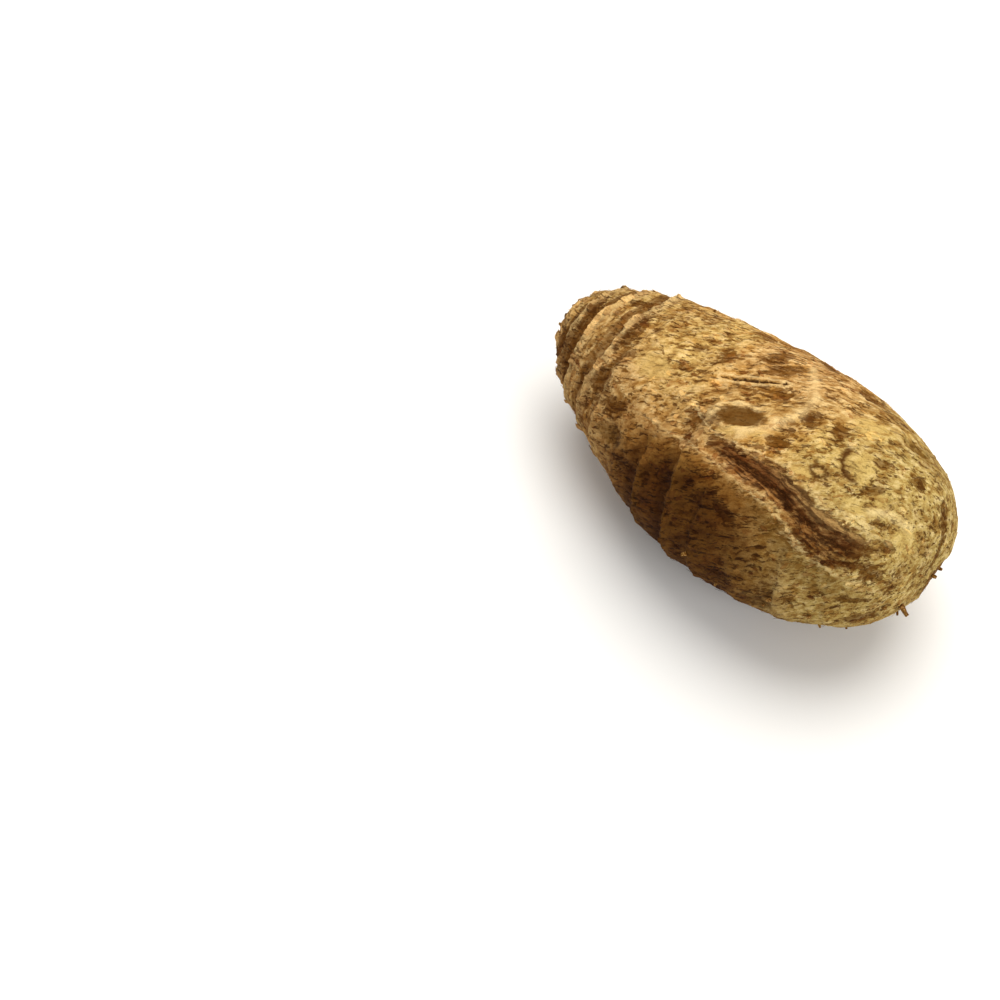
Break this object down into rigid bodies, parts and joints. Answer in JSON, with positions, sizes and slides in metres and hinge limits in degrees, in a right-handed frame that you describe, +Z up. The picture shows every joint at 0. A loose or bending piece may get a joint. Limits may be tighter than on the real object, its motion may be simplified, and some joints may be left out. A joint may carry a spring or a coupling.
{
  "type": "taro root",
  "caption": "Whole taro root: a rounded corm that narrows to a ringed crown, with leaf-scar rings, oval side buds, a long bark furrow and a small flat resting spot.",
  "frame": {"origin": "on the surface that the corm lies on, under the middle of its bounding box", "axes": "+X along the corm, from its narrow crown to its rounded base; +Z up; the side seen in the picture faces -Y and +Z"},
  "size_m": [0.1944, 0.1028, 0.0998],
  "materials": {
    "corm_skin": "matt, fibrous brown bark"
  },
  "bodies": {
    "root": {"taro_corm": "corm_skin"}
  },
  "joints": []
}
